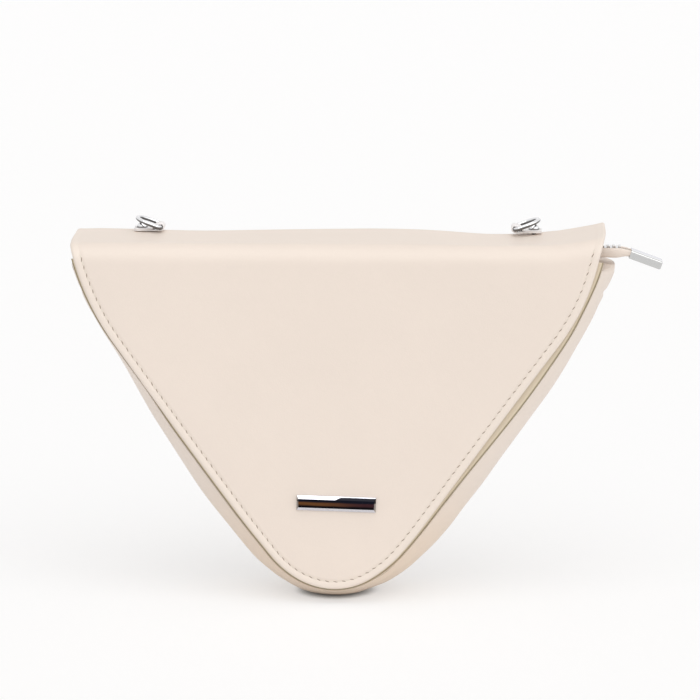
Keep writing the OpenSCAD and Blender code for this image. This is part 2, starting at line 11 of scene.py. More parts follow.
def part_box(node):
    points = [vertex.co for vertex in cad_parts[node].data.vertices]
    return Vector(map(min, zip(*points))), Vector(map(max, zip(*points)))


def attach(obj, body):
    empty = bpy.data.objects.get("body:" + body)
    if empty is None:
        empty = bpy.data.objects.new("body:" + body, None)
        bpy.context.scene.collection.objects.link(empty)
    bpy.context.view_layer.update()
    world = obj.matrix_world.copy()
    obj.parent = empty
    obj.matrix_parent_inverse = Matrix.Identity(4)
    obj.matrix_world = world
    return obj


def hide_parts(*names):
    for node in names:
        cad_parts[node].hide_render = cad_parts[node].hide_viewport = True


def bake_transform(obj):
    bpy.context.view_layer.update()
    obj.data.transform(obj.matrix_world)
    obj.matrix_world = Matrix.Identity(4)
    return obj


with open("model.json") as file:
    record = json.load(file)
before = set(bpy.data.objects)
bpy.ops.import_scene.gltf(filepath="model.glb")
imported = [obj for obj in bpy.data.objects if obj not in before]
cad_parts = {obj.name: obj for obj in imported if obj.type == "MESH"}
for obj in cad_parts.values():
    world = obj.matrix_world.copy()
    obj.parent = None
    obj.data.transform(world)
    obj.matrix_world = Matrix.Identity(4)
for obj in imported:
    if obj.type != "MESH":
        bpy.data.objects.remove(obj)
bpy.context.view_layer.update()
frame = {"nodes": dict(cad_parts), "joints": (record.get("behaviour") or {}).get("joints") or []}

bl_info = {
    "name": "Triangular Flap Bag",
    "version": (1, 0, 0),
    "blender": (4, 5, 0),
    "location": "View3D > Sidebar > Bag",
    "description": "Leather, cloth and metal finishes of a triangular flap bag",
    "category": "Object",
}

MM = 0.001
BACK = Vector((0, 1, 0))
UP = Vector((0, 0, 1))


def joint_place(name):
    return next(joint for joint in frame["joints"] if joint["name"] == name)["pos_m"]


def length(name, description, millimetres):
    return bpy.props.FloatProperty(name=name, description=description, default=millimetres * MM,
                                   unit="LENGTH", precision=4)


def angle(name, description, degrees):
    return bpy.props.FloatProperty(name=name, description=description, default=radians(degrees),
                                   subtype="ANGLE")


def strength(name, description, value):
    return bpy.props.FloatProperty(name=name, description=description, default=value, min=0)


def colour(name, description, value):
    return bpy.props.FloatVectorProperty(name=name, description=description, default=value,
                                         subtype="COLOR", size=3, min=0, max=1)


class BagSizes(bpy.types.PropertyGroup):
    """Sizes of the leather and cloth pieces."""
    tip_r: length("Tip radius", "Radius of the flap's rounded tip", 40.4)
    side_lean: angle("Side lean", "Lean of the straight sides", 35.6)
    corner_r: length("Corner radius", "Radius of the long curve of each upper corner", 129)
    corner_start: length("Corner start", "Height at which the side gives way to the corner curve", 130.5)
    flap_drop: length("Flap drop", "Height of the flap's lowest edge", 7.5)
    flap_thick: length("Flap thickness", "Thickness of the padded flap", 2.4)
    front_fold: length("Front fold", "Radius of the fold between the flap's face and its top", 9)
    back_fold: length("Back fold", "Radius of the fold at the back of the top", 7)
    band_h: length("Band height", "How far the flap is sewn down below the back fold", 12)
    seam_inset: length("Stitch inset", "Distance of the stitching from the flap's edge", 3.9)
    stitch_pitch: length("Stitch pitch", "Distance from one stitch to the next", 4.2)
    margin: length("Panel margin", "How far the body's seams lie past the flap's edge", 2.5)
    leather: length("Leather thickness", "Thickness of the panels and the gusset", 1.2)
    corner_curl: length("Corner curl", "How far the flap's right corner curls up", 4.3)
    slim_left: length("Slimmer left", "How far the tip's left flank is drawn in", 1.2)
    slim_right: length("Slimmer right", "How far the tip's right flank is drawn in", 1.6)
    top_flare: length("Top flare", "How much wider the flap's top is at the back", 1.4)
    top_slide: length("Top slide", "How far the flap's wide end lies to the right", 1.0)
    top_sag: length("Top sag", "How far the flap's top sags beside the curled corner", 2.0)


class BagColours(bpy.types.PropertyGroup):
    """Colours of the finishes."""
    leather: colour("Leather", "Cream leather", (0.86, 0.758, 0.675))
    # Foot: painted shade with warm bounce light on the gusset near the floor
    foot: colour("Foot", "Leather of the gusset near the tip", (0.83, 0.69, 0.56))
    # Tab: painted highlight, the tabs' cream leather drawn paler as if brightly lit
    tab: colour("Tab", "Pale leather of the ring tabs", (0.93, 0.905, 0.90))
    rim: colour("Rim", "Leather of the turned rim", (0.87, 0.77, 0.685))
    # Panel edge: painted shadow of the flap on the front panel beside its seam
    shaded: colour("Panel edge", "Darker leather of the front panel beside its seam", (0.80, 0.69, 0.53))
    # Seam: painted shade in the valley where the front panel meets the gusset
    seam: colour("Seam", "Leather in the seam's valley", (0.30, 0.24, 0.13))
    thread: colour("Thread", "Sewing thread", (0.86, 0.79, 0.69))
    hole: colour("Needle hole", "Shade in the needle holes", (0.38, 0.31, 0.24))
    tape: colour("Zip tape", "Woven zip tape", (0.86, 0.76, 0.64))
    lining: colour("Lining", "Lining cloth", (0.70, 0.62, 0.51))
    board: colour("Board", "Stiffening board", (0.55, 0.47, 0.37))
    metal: colour("Metal", "Polished nickel", (0.80, 0.80, 0.81))
    backdrop: colour("Backdrop", "Floor and background", (0.93, 0.93, 0.935))


class BagStage(bpy.types.PropertyGroup):
    """Camera and lamps."""
    azimuth: angle("Azimuth", "Camera's turn to the right", 2)
    elevation: angle("Elevation", "Camera's height as an angle", 11)
    distance: length("Distance", "Camera's distance from what it looks at", 2000)
    target: bpy.props.FloatVectorProperty(name="Target", description="Point at the middle of the picture",
                                          default=(0.0076, -0.028, 0.12815), subtype="TRANSLATION")
    view_width: length("View width", "Width that the picture shows at the target", 343)
    fill: strength("Fill", "Strength of the light from all sides", 0.60)
    key: strength("Key", "Strength of the main lamp", 1.15)
    side: strength("Side", "Strength of the lamp at the right", 0.5)
    floor_share: strength("Floor shade", "How strongly the floor shows its shadows", 0.56)
    contact: length("Contact shadow", "Reach of the dark shadow where the bag touches the floor", 6)
    glow: strength("Floor glow", "What the floor adds for the eye", 0.47)


def sizes():
    return bpy.context.scene.bag_sizes


def colours():
    return bpy.context.scene.bag_colours


# Shader expressions


class Wire:
    """A shader socket that takes part in Python expressions."""

    def __init__(self, finish, socket):
        self.finish = finish
        self.socket = socket

    def maths(self, operation, *values):
        return self.finish.node("ShaderNodeMath", {"operation": operation}, dict(enumerate(values)))

    def __add__(self, other):
        return self.maths("ADD", self, other)

    def __sub__(self, other):
        return self.maths("SUBTRACT", self, other)

    def __rsub__(self, other):
        return self.maths("SUBTRACT", other, self)

    def __mul__(self, other):
        return self.maths("MULTIPLY", self, other)

    __radd__ = __add__
    __rmul__ = __mul__


class Finish:
    """A material, or another node tree, made of nodes that are added one at a time."""

    def __init__(self, name=None, tree=None):
        if tree is None:
            self.material = bpy.data.materials.new(name)
            self.material.use_nodes = True
            tree = self.material.node_tree
            self.shader = tree.nodes["Principled BSDF"]
        self.tree = tree

    def plug(self, socket, value):
        if isinstance(value, Wire):
            self.tree.links.new(value.socket, socket)
        else:
            socket.default_value = value

    def node(self, kind, settings=None, inputs=None, output=0):
        made = self.tree.nodes.new(kind)
        for key, value in (settings or {}).items():
            setattr(made, key, value)
        for key, value in (inputs or {}).items():
            self.plug(made.inputs[key], value)
        return Wire(self, made.outputs[output])

    def place(self):
        return self.node("ShaderNodeTexCoord", output="Object")

    def normal(self):
        return self.node("ShaderNodeNewGeometry", output="Normal")

    def part(self, vector, axis):
        """One of the X, Y and Z parts of a vector."""
        return self.node("ShaderNodeSeparateXYZ", None, {0: vector}, output=axis)

    def from_edge(self):
        """Distance from the piece's edge in millimetres."""
        return self.node("ShaderNodeAttribute", {"attribute_name": "edge_mm"}, output="Fac")

    def clouds(self, scale, detail=2.0, rough=0.5):
        return self.node("ShaderNodeTexNoise", None,
                         {"Vector": self.place(), "Scale": scale, "Detail": detail, "Roughness": rough})

    def ramp(self, value, low, high):
        return self.node("ShaderNodeMapRange", {"interpolation_type": "SMOOTHSTEP"},
                         {"Value": value, "From Min": low, "From Max": high})

    def blend(self, factor, first, second):
        return self.node("ShaderNodeMix", {"data_type": "RGBA"},
                         {"Factor": factor, 6: first, 7: second}, output=2)

    def shade(self, base, amount):
        """A colour made darker where the amount is under 1."""
        grey = self.node("ShaderNodeCombineColor", None, {0: amount, 1: amount, 2: amount})
        return self.node("ShaderNodeMix", {"data_type": "RGBA", "blend_type": "MULTIPLY"},
                         {"Factor": 1.0, 6: base, 7: grey}, output=2)

    def bump(self, height, distance, normal=None):
        inputs = {"Height": height, "Distance": distance, "Strength": 1.0}
        if normal:
            inputs["Normal"] = normal
        return self.node("ShaderNodeBump", None, inputs)

    def end(self, **sockets):
        for name, value in sockets.items():
            self.plug(self.shader.inputs[name.replace("_", " ")], value)
        return self.material


def rgba(value, light=1.0):
    return (*[channel * light for channel in value], 1.0)


def leather_finish(name, value=None, rim=False, flap_shadow=False, foot=False):
    """Smooth cream leather: a fine grain and faint clouds of tone; a lighter turned rim, a painted shadow of
    the flap along the seam edges or painted warm shade on the foot near the floor."""
    f = Finish(name)
    value = value or colours().leather
    base = f.blend(f.clouds(22, 3), rgba(value, 0.975), rgba(value, 1.02))
    # Painted shade with warm bounce light, blended in towards the floor
    if foot:
        low, high = 12 * MM, 70 * MM
        base = f.blend(f.ramp(f.part(f.place(), "Z"), low, high), rgba(colours().foot), base)
    if rim:
        base = f.blend(f.ramp(f.from_edge(), 3.0, 4.4), rgba(colours().rim), base)
        base = f.shade(base, 0.93 + f.ramp(f.from_edge(), 0.0, 0.8) * 0.07)
    # Painted shadow of the flap along the panel's seam edges, with painted shade in the seam's valley
    if flap_shadow:
        shadow_tone = f.blend(f.ramp(f.from_edge(), 0.3, 1.1), rgba(colours().seam), rgba(colours().shaded))
        base = f.blend(f.ramp(f.from_edge(), 4.0, 8.5), shadow_tone, base)
    grains_per_metre = 1900
    grain = f.node("ShaderNodeTexVoronoi", {"feature": "SMOOTH_F1"},
                   {"Vector": f.place(), "Scale": grains_per_metre, "Smoothness": 0.6})
    pores = f.clouds(900, 4, 0.6)
    base = f.shade(base, 0.985 + pores * 0.03)
    waves = f.bump(f.clouds(60, 2), 0.25 * MM)
    normal = f.bump(grain + pores * 0.8, 0.025 * MM, waves)
    return f.end(Base_Color=base, Roughness=0.40 + pores * 0.16, Normal=normal, Specular_IOR_Level=0.42)


def cloth_finish(name, value, pitch, depth):
    """A plain weave of two crossed sets of threads."""
    f = Finish(name)
    threads = {"Vector": f.place(), "Scale": 0.5 / pitch, "Distortion": 0.4, "Detail": 1.0}
    across, along = (f.node("ShaderNodeTexWave", {"bands_direction": way}, threads)
                     for way in ("X", "DIAGONAL"))
    weave = across * 0.5 + along * 0.5
    base = f.shade(rgba(value), 0.86 + weave * 0.16)
    return f.end(Base_Color=base, Roughness=0.82 + weave * 0.1, Normal=f.bump(weave, depth))


def metal_finish(name, rough=0.1, wear=0.06):
    """Polished plating with faint smears and fine scratches."""
    f = Finish(name)
    smears = f.clouds(160, 3)
    base = f.shade(rgba(colours().metal), 0.95 + smears * 0.07)
    return f.end(Base_Color=base, Metallic=1.0, Roughness=rough + smears * wear,
                 Normal=f.bump(f.clouds(2600, 2), 0.004 * MM))


def chrome_finish():
    """Bright plating with painted reflections: darker on the sides that face down or to the front, as in a
    light room.
    """
    f = Finish("ring_chrome")
    facing = {axis: f.part(f.normal(), axis) for axis in "XYZ"}
    smears = f.clouds(700, 3)
    ends = facing["X"] * facing["X"]
    lit = f.ramp(facing["Z"] + facing["Y"] * 0.35 + smears * 0.16 - ends * ends * 0.5, -0.38, 0.16)
    # Painted reflections: the plating turns dark on sides facing down, to the front and to the ends
    base = f.blend(lit, rgba(colours().metal, 0.22), rgba(colours().metal))
    return f.end(Base_Color=base, Metallic=1.0, Roughness=0.06 + smears * 0.08)


def cap_finish():
    """The zip's end cap, with painted reflections: satin grey in front and over its rounded edge, then a
    painted bright line, paler behind.
    """
    f = Finish("cap_metal")
    depth = f.part(f.place(), "Y")
    smears = f.clouds(700, 3)
    line_front, line_back = (-3.6 * MM, -2.8 * MM), (-2.2 * MM, -1.2 * MM)
    # Painted highlight line and painted reflections on the cap's top
    top = f.blend(f.ramp(depth, *line_back), rgba((0.95, 0.95, 0.96)), rgba((0.74, 0.74, 0.79)))
    over = f.ramp(f.part(f.normal(), "Z"), 0.6, 0.9) * f.ramp(depth, *line_front)
    base = f.blend(over, rgba((0.60, 0.60, 0.595)), top)
    return f.end(Base_Color=base, Metallic=1.0, Roughness=0.22 + smears * 0.08)


def bar_finish():
    """The bar: a face of painted dark reflections streaked with brown, with a painted bright reflection above
    on its left, between polished bevels with painted bright and dark reflections. The level runs from about
    -1 where the face meets the lower bevel to 1 at the upper bevel."""
    f = Finish("bar_metal")
    low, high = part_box("plaque")
    middle = (low + high) / 2
    metal = colours().metal
    x = f.part(f.place(), "X") - middle.x
    stretched = f.node("ShaderNodeMapping", None, {"Vector": f.place(), "Scale": (90, 90, 700)})
    streaks = f.node("ShaderNodeTexNoise", None, {"Vector": stretched, "Scale": 1.0, "Detail": 4.0})
    slope, levels_per_metre = 0.03, 480
    level = (f.part(f.place(), "Z") - middle.z + x * slope) * levels_per_metre + streaks * 0.5 - 0.25
    # Painted reflections on the face: brown streaks, near black below and dark navy above
    brown = f.blend(f.ramp(x, -12 * MM, 16 * MM), rgba((0.13, 0.055, 0.02)), rgba((0.045, 0.018, 0.022)))
    lower = f.blend(f.ramp(level, -0.65, -0.2), rgba((0.006, 0.005, 0.006)), brown)
    dark = f.blend(f.ramp(level, 0.15, 0.55), lower, rgba((0.008, 0.009, 0.016)))
    # Painted bright reflection over the face's upper left
    horizon = f.ramp(level - f.ramp(x, -1 * MM, 3 * MM) * 1.2, 1.0, 1.12)
    centre = f.blend(horizon, dark, rgba(metal, 1.05))
    ends = f.part(f.normal(), "X")
    # Painted bright and dark reflections on the bevels
    bevels = f.blend(f.ramp(ends * ends, 0.3, 0.5), rgba((0.66, 0.66, 0.71)), rgba(metal, 0.4))
    bright = f.ramp(level - f.ramp(x, -2 * MM, 3 * MM) * 0.8, 0.75, 0.9)
    bevels = f.blend(f.ramp(level, 0.2, 0.6) * (1 - bright), bevels, rgba((0.014, 0.014, 0.018)))
    base = f.blend(f.ramp(f.part(f.normal(), "Y") * -1, 0.93, 0.99), bevels, centre)
    return f.end(Base_Color=base, Metallic=1.0, Roughness=0.07 + streaks * 0.05)


def plain_finish(name, value, rough, speckle):
    """A dull material with a fine speckle."""
    f = Finish(name)
    fine = f.clouds(1400, 3)
    base = f.shade(rgba(value), 1.0 - speckle + fine * speckle * 1.6)
    return f.end(Base_Color=base, Roughness=rough + fine * 0.1, Normal=f.bump(fine, 0.03 * MM))


made_finishes = {}
FINISHES = {
    "leather": lambda: leather_finish("cream_leather"),
    "gusset": lambda: leather_finish("cream_gusset_leather", foot=True),
    # The ring tabs' leather is drawn paler: a painted highlight
    "tab": lambda: leather_finish("tab_leather_painted_highlight", colours().tab),
    "flap_leather": lambda: leather_finish("cream_flap_leather", rim=True),
    # The front panel's edge carries the painted shadow of the flap
    "front_panel": lambda: leather_finish("cream_front_leather", flap_shadow=True),
    "back_panel": lambda: leather_finish("cream_back_leather"),
    "chrome": chrome_finish,
    "cap": cap_finish,
    "thread": lambda: cloth_finish("thread", colours().thread, 0.6 * MM, 0.04 * MM),
    "hole": lambda: plain_finish("needle_hole", colours().hole, 0.9, 0.2),
    "tape": lambda: cloth_finish("zip_tape_weave", colours().tape, 0.7 * MM, 0.06 * MM),
    "lining": lambda: cloth_finish("lining_weave", colours().lining, 0.5 * MM, 0.04 * MM),
    "board": lambda: plain_finish("fibre_board", colours().board, 0.85, 0.12),
    "metal": lambda: metal_finish("polished_nickel"),
    "teeth": lambda: metal_finish("tooth_nickel", 0.16, 0.1),
    "bar": bar_finish,
}


def finish(name):
    """The named material, made when it is first asked for."""
    if name not in made_finishes:
        made_finishes[name] = FINISHES[name]()
    return made_finishes[name]


# Meshes


WELD = 0.004 * MM


def smooth_step(t):
    u = min(max(t, 0.0), 1.0)
    return u * u * (3 - 2 * u)


def rise(value, start, span):
    """0 up to a start, 1 a span later and smooth between."""
    return smooth_step((value - start) / span)


def bell(value, middle, width):
    return exp(-((value - middle) / width) ** 2)


def roundness(distance, reach):
    """0 at a turned edge, rising on a quarter circle to 1 where the turn ends."""
    turn = min(distance / reach, 1.0)
    return sqrt(1 - (1 - turn) ** 2)


def faces_of(rows, columns, wrap=False, first=0):
    """Quads between rows of points, numbered from first."""
    found = []
    last = columns if wrap else columns - 1
    for i in range(rows - 1):
        for j in range(last):
            a = first + i * columns + j
            b = first + i * columns + (j + 1) % columns
            found.append((a, b, b + columns, a + columns))
    return found


def tube_faces(rows, columns):
    """Quads round a tube of rows, with a face across each end."""
    ends = [tuple(range(start, start + columns)) for start in (0, (rows - 1) * columns)]
    return faces_of(rows, columns, wrap=True) + ends


def band_faces(rows, half):
    """Quads round a band whose rows run out over one face and back over the other, with closed ends."""
    columns = 2 * half
    ends = [(start + k, start + k + 1, start + columns - 2 - k, start + columns - 1 - k)
            for start in (0, (rows - 1) * columns) for k in range(half - 1)]
    return faces_of(rows, columns, wrap=True) + ends


def make_piece(name, points, faces, material, body, nodes=(), layer=None):
    """A smooth mesh piece that rides on a body and stands for CAD nodes."""
    mesh = bpy.data.meshes.new(name)
    shaped = bmesh.new()
    values = shaped.verts.layers.float.new("edge_mm") if layer else None
    corners = [shaped.verts.new(p) for p in points]
    if layer:
        for corner, value in zip(corners, layer):
            corner[values] = value
    for face in faces:
        shaped.faces.new([corners[k] for k in face])
    bmesh.ops.remove_doubles(shaped, verts=shaped.verts, dist=WELD)
    bmesh.ops.recalc_face_normals(shaped, faces=shaped.faces)
    shaped.to_mesh(mesh)
    shaped.free()
    mesh.shade_smooth()
    mesh.materials.append(finish(material))
    piece = bpy.data.objects.new(name, mesh)
    bpy.context.scene.collection.objects.link(piece)
    if body:
        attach(piece, body)
    if nodes:
        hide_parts(*nodes)
    return piece


# The face outline


class Outline:
    """The bag's face outline: a tip arc, two straight sides and two corner arcs."""

    def __init__(self):
        s = sizes()
        self.s = s
        self.lean = s.side_lean
        self.tip_z = s.flap_drop + s.tip_r
        self.side_x = (s.tip_r * cos(self.lean)
                       + (s.corner_start - self.tip_z + s.tip_r * sin(self.lean)) * tan(self.lean))
        self.corner_x = self.side_x - s.corner_r * cos(self.lean)
        self.corner_z = s.corner_start + s.corner_r * sin(self.lean)

    def places(self, top, grow=0.0, tip=26, side=44, corner=24):
        """Right half as (x, z, normal x, normal z), from the tip up to a height on the grown outline."""
        s = self.s
        bend = pi / 2 - self.lean
        found = [(s.tip_r * sin(a), self.tip_z - s.tip_r * cos(a), sin(a), -cos(a))
                 for a in (bend * i / tip for i in range(tip + 1))]
        x, z, nx, nz = found[-1]
        found += [(x + (self.side_x - x) * t, z + (s.corner_start - z) * t, nx, nz)
                  for t in (i / side for i in range(1, side + 1))]
        end = asin((self.corner_z - top) / (s.corner_r + grow))
        bends = (self.lean + (end - self.lean) * i / corner for i in range(1, corner + 1))
        found += [(self.corner_x + s.corner_r * cos(b), self.corner_z - s.corner_r * sin(b),
                   cos(b), -sin(b)) for b in bends]
        return found

    def both_halves(self, top, grow, tip, side, corner):
        """The whole outline, from the left top round the tip to the right top."""
        half = self.places(top, grow, tip, side, corner)
        return [(-x, z, -nx, nz) for x, z, nx, nz in reversed(half[1:])] + half

    def width(self, z):
        """Half width of the outline at a height in its corner arcs."""
        return self.corner_x + sqrt(self.s.corner_r ** 2 - (self.corner_z - z) ** 2)


def eased(x, z):
    """A place on the bag's face, drawn in a little where the tip's flanks are slimmer than plain arcs. Its
    turn is the angle round the tip's centre, from straight down to the right."""
    s = sizes()
    centre = s.flap_drop + s.tip_r
    turn = atan2(x, centre - z)
    pull = s.slim_right * bell(turn, 0.68, 0.4) + s.slim_left * bell(turn, -0.8, 0.5)
    pull *= min(hypot(x, z - centre) / s.tip_r, 1.0) ** 2
    return x - pull * sin(turn), z + pull * cos(turn)


# How far from its edge a sheet has lines of points, in millimetres, how many more reach its middle, and
# the distance from the tip past which rows run straight across
INSETS = [0, 0.08, 0.25, 0.5, 0.85, 1.3, 1.8, 2.4, 3.0, 3.5, 3.9, 4.3, 4.8, 5.4, 6.2, 7.4, 9.2, 11.4, 14.0]
SPANS = 14
STRAIGHT_FROM = 150 * MM


def inset_rows(edge, spine):
    """Lines of (x, u, distance from the edge) that run from the right edge to the middle line and on
    to the left edge, one for each place of the right edge."""
    rows = []
    for i, (x, u) in enumerate(edge):
        a = edge[max(i - 1, 0)]
        b = edge[min(i + 1, len(edge) - 1)]
        dx, du = b[0] - a[0], b[1] - a[1]
        if i == 0:
            dx, du = 1.0, 0.0
        size = hypot(dx, du)
        inward = (-du / size, dx / size)
        half = [(x + inward[0] * d * MM, u + inward[1] * d * MM, d * MM) for d in INSETS]
        qx, qu, depth = half[-1]
        run = hypot(qx, spine[i] - qu)
        for k in range(1, SPANS + 1):
            t = k / SPANS
            half.append((qx * (1 - t), qu + (spine[i] - qu) * t, depth + run * t))
        rows.append(half + [(-p[0], p[1], p[2]) for p in reversed(half[:-1])])
    return rows


def inset_spine(edge, centre):
    """Where each row meets the middle line: the tip's rows near its centre, later ones straight across."""
    last = next((i for i, place in enumerate(edge) if place[1] >= STRAIGHT_FROM), len(edge) - 1)
    return [centre + (edge[last][1] - centre) * (i / last) ** 1.5 if i < last else edge[i][1]
            for i in range(len(edge))]


def shell(name, rows, outer, inner, material, body, nodes):
    """A closed shell from inset rows and the points of its outer and inner face."""
    columns = len(rows[0])
    points = [outer(*p) for row in rows for p in row] + [inner(*p) for row in rows for p in row]
    layer = [p[2] / MM for row in rows for p in row] * 2
    half = len(rows) * columns
    faces = faces_of(len(rows), columns) + faces_of(len(rows), columns, first=half)
    end = half - columns
    faces += [(end + j, end + j + 1, half + end + j + 1, half + end + j) for j in range(columns - 1)]
    return make_piece(name, points, faces, material, body, nodes, layer)


# The flap


class FlapSheet:
    """The flap's sheet, unrolled: u runs from its tip up the face, over both folds and down the band."""

    def __init__(self, outline):
        s = sizes()
        self.s = s
        self.outline = outline
        low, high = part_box("flap_leather")
        self.top = high.z
        self.front = low.y
        self.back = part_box("flap_band")[1].y
        self.low = s.flap_drop
        self.face_end = self.top - s.front_fold - self.low
        self.fold_end = self.face_end + s.front_fold * pi / 2
        self.flat = (self.back - s.back_fold) - (self.front + s.front_fold)
        self.top_end = self.fold_end + self.flat
        self.band_start = self.top_end + s.back_fold * pi / 2
        self.length = self.band_start + s.band_h
        self.turn = 1.5 * MM

    def section(self, u):
        """Outer point (y, z) and outward normal (y, z) at a distance u from the tip."""
        s = self.s
        if u <= self.face_end:
            return self.front, self.low + u, -1.0, 0.0
        if u <= self.fold_end:
            a = (u - self.face_end) / s.front_fold
            y, z = self.front + s.front_fold, self.top - s.front_fold
            return y - s.front_fold * cos(a), z + s.front_fold * sin(a), -cos(a), sin(a)
        if u <= self.top_end:
            return self.front + s.front_fold + u - self.fold_end, self.top, 0.0, 1.0
        a = min((u - self.top_end) / s.back_fold, pi / 2)
        y, z = self.back - s.back_fold, self.top - s.back_fold
        drop = max(u - self.band_start, 0.0)
        return y + s.back_fold * sin(a), z + s.back_fold * cos(a) - drop, sin(a), cos(a)

    def edge(self):
        """The right edge as (x, u), from the tip to the band's end."""
        found = [(p[0], p[1] - self.low) for p in self.outline.places(self.top - self.s.front_fold)]
        runs = ((self.face_end, self.fold_end, 12), (self.fold_end, self.top_end, 22),
                (self.top_end, self.band_start, 10), (self.band_start, self.length, 6))
        for start, end, count in runs:
            for i in range(1, count + 1):
                u = start + (end - start) * i / count
                flare = self.s.top_flare * rise(u, self.face_end, 34 * MM)
                found.append((self.outline.width(self.section(u)[1]) + flare, u))
        return found

    def lift(self, x, u, give=1.0):
        """How far the leather lifts at its curled corner, less its sag beside it; give is the sag's share."""
        s = self.s
        front = rise(u - self.face_end, -26 * MM, 34 * MM)
        back = 1 - rise(u - self.top_end, 2 * MM, 12 * MM)
        curl_start, curl_width = 103 * MM, 27 * MM
        curl = s.corner_curl * (max(x - curl_start, 0.0) / curl_width) ** 1.6 * front
        wave = bell(x, 78 * MM, 24 * MM) + 0.5 * bell(x, -70 * MM, 32 * MM) - 0.25 * bell(x, 20 * MM, 28 * MM)
        sag = give * s.top_sag * wave * rise(u - self.fold_end, -4 * MM, 14 * MM)
        return (curl - sag) * back

    def point(self, x, u, depth, give=1.0):
        """The point at a depth under the outer face."""
        y, z, ny, nz = self.section(u)
        slid = self.s.top_slide * rise(u, 70 * MM, 95 * MM)
        px, pz = eased(x + slid, z - nz * depth + self.lift(x, u, give))
        return Vector((px, y - ny * depth, pz))

    def outer_depth(self, x, u, d):
        """Depth of the outer face: a rounded turned edge, the sewn groove and the padding inside it."""
        s = self.s
        round_edge = s.flap_thick / 2 * (1 - roundness(d, self.turn))
        sewn = 1 - rise(u, self.face_end, 16 * MM)
        rim = 0.25 * MM * (1 - rise(d, s.seam_inset, 9 * MM))
        groove = 0.4 * MM * bell(d, s.seam_inset, 0.75 * MM) * sewn
        uneven = noise.noise(Vector((x * 30, u * 30, 0.3)))
        soft = 0.12 * MM * uneven * rise(d, 12 * MM, 20 * MM)
        return round_edge + rim + groove + max(soft, -0.02 * MM)

    def outer(self, x, u, d):
        if d == 0:
            return self.point(x, u, self.s.flap_thick / 2)
        return self.point(x, u, self.outer_depth(x, u, d))

    def inner(self, x, u, d):
        """The inner face, which sags less because the padding gives way."""
        half = self.s.flap_thick / 2
        return self.point(x, u, half + half * roundness(d, self.turn), 1 - 0.8 * rise(d, 0, 5 * MM))


def bead(centre, along, outward, half_length, half_width, half_height):
    """Points and faces of a small lozenge that lies along a seam."""
    side = along.cross(outward)
    rings, around = 5, 6
    points = []
    for i in range(rings):
        a = pi * (i + 0.5) / rings
        for k in range(around):
            b = 2 * pi * k / around
            points.append(centre - along * half_length * cos(a) + side * half_width * sin(a) * cos(b)
                          + outward * half_height * sin(a) * sin(b))
    return points, tube_faces(rings, around)


def bead_row(name, places, lozenge, material, body):
    """Many lozenges in one piece."""
    points, faces = [], []
    for centre, along, outward in places:
        more, quads = bead(centre, along, outward, *lozenge)
        faces += [tuple(k + len(points) for k in face) for face in quads]
        points += more
    return make_piece(name, points, faces, material, body)


def walk(line, pitch, start=0.0):
    """Evenly spaced (point, direction) along a list of points, a pitch apart."""
    left = start
    for a, b in zip(line, line[1:]):
        run = (b - a).length
        while left <= run and run > 0:
            yield a + (b - a) * (left / run), (b - a).normalized()
            left += pitch
        left -= run


def stitch_line(sheet):
    """The flap's stitch line as (x, u), from the right top round the tip to the left top."""
    inset = sizes().seam_inset
    edge = sheet.edge()
    end = sheet.face_end + 5 * MM
    rows = inset_rows(edge, [0.0] * len(edge))
    column = INSETS.index(round(inset / MM, 2))
    right = [row[column] for row in rows if row[column][1] <= end]
    return [(p[0], p[1]) for p in reversed(right)] + [(-p[0], p[1]) for p in right[1:]]


def sewn_places(sheet, path, pitch, sink, start=0.0):
    """Places of stitches on the flap: centre, direction and outward normal in space."""
    inset = sizes().seam_inset
    flat = [Vector((x, u, 0)) for x, u in path]
    found = []
    for place, direction in walk(flat, pitch, start):
        ny, nz = sheet.section(place.y)[2:]
        centre = sheet.point(place.x, place.y, sheet.outer_depth(place.x, place.y, inset) + sink)
        outward = Vector((0, ny, nz))
        up = Vector((0, -nz, ny)) if ny > 0 else Vector((0, nz, -ny))
        found.append((centre, (Vector((1, 0, 0)) * direction.x + up * direction.y).normalized(), outward))
    return found


class BAG_OT_flap(bpy.types.Operator):
    """Make the padded flap with its folds, its curled corner and the band that is sewn down"""
    bl_idname = "bag.flap"
    bl_label = "Flap"

    def execute(self, context):
        outline = Outline()
        sheet = FlapSheet(outline)
        edge = sheet.edge()
        rows = inset_rows(edge, inset_spine(edge, outline.tip_z - sheet.low))
        flap = shell("flap", rows, sheet.outer, sheet.inner, "flap_leather", None,
                     ("flap_leather", "flap_padding", "flap_backing", "flap_band"))
        y, z = joint_place("flap_hinge")[1:]
        reach = 2.5 * MM
        y + reach
        y - reach
        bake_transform(flap)
        return {"FINISHED"}


